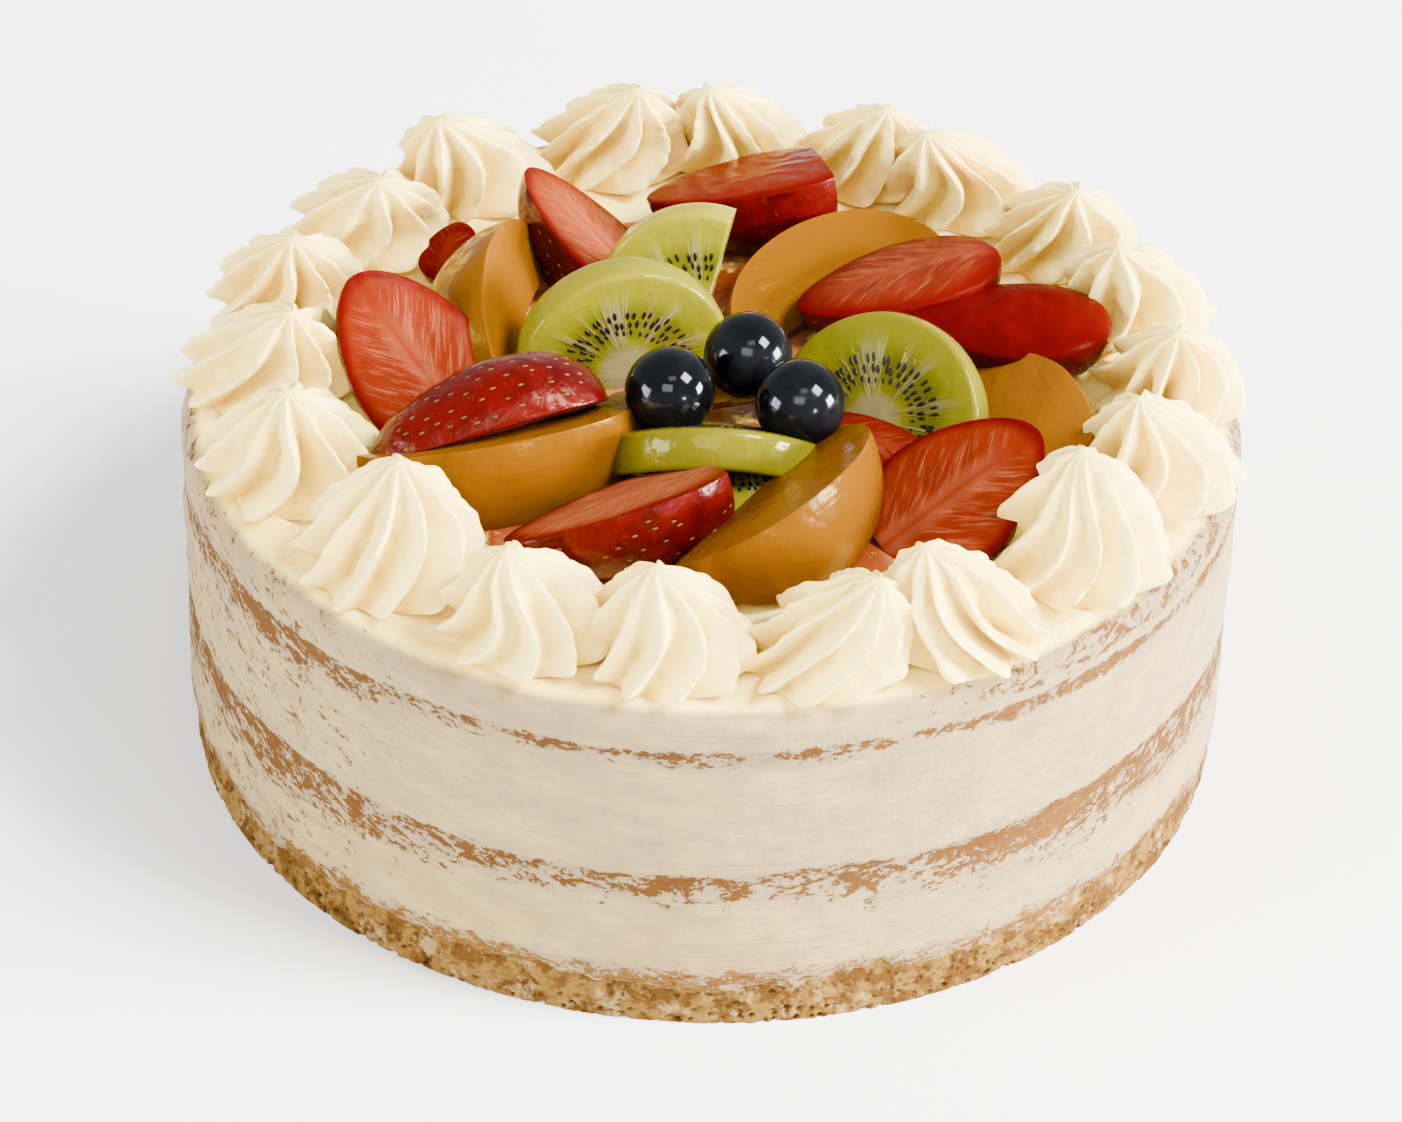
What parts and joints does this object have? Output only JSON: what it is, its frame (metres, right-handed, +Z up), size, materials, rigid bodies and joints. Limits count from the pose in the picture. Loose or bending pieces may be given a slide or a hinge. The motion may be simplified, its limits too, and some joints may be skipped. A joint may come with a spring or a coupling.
{
  "type": "fruit topped layer cake",
  "caption": "Round layer cake with a thinly scraped cream coat, bare sponge at its foot, a ring of piped cream rosettes and glazed fruit on top.",
  "frame": {"origin": "middle of the cake's flat underside", "axes": "+Z up, -Y towards the viewer of the picture, +X to the viewer's right"},
  "size_m": [0.2047, 0.2036, 0.0974],
  "materials": {
    "sponge": "matte",
    "cream": "satin",
    "coat": "satin",
    "strawberry": "gloss",
    "peach": "gloss",
    "kiwi": "gloss",
    "blueberry": "polished"
  },
  "bodies": {
    "root": {"sponge_lower": "sponge", "cream_filling": "cream", "sponge_upper": "sponge", "cream_coat": "coat", "rosette_01": "cream", "rosette_02": "cream", "rosette_03": "cream", "rosette_04": "cream", "rosette_05": "cream", "rosette_06": "cream", "rosette_07": "cream", "rosette_08": "cream", "rosette_09": "cream", "rosette_10": "cream", "rosette_11": "cream", "rosette_12": "cream", "rosette_13": "cream", "rosette_14": "cream", "rosette_15": "cream", "rosette_16": "cream", "rosette_17": "cream", "rosette_18": "cream", "rosette_19": "cream", "strawberry_01": "strawberry", "strawberry_02": "strawberry", "strawberry_03": "strawberry", "strawberry_04": "strawberry", "strawberry_05": "strawberry", "strawberry_06": "strawberry", "strawberry_07": "strawberry", "strawberry_08": "strawberry", "strawberry_09": "strawberry", "strawberry_10": "strawberry", "peach_01": "peach", "peach_02": "peach", "peach_03": "peach", "peach_04": "peach", "peach_05": "peach", "peach_06": "peach", "kiwi_01": "kiwi", "kiwi_02": "kiwi", "kiwi_03": "kiwi", "kiwi_04": "kiwi", "kiwi_05": "kiwi", "blueberry_01": "blueberry", "blueberry_02": "blueberry", "blueberry_03": "blueberry"}
  },
  "joints": []
}
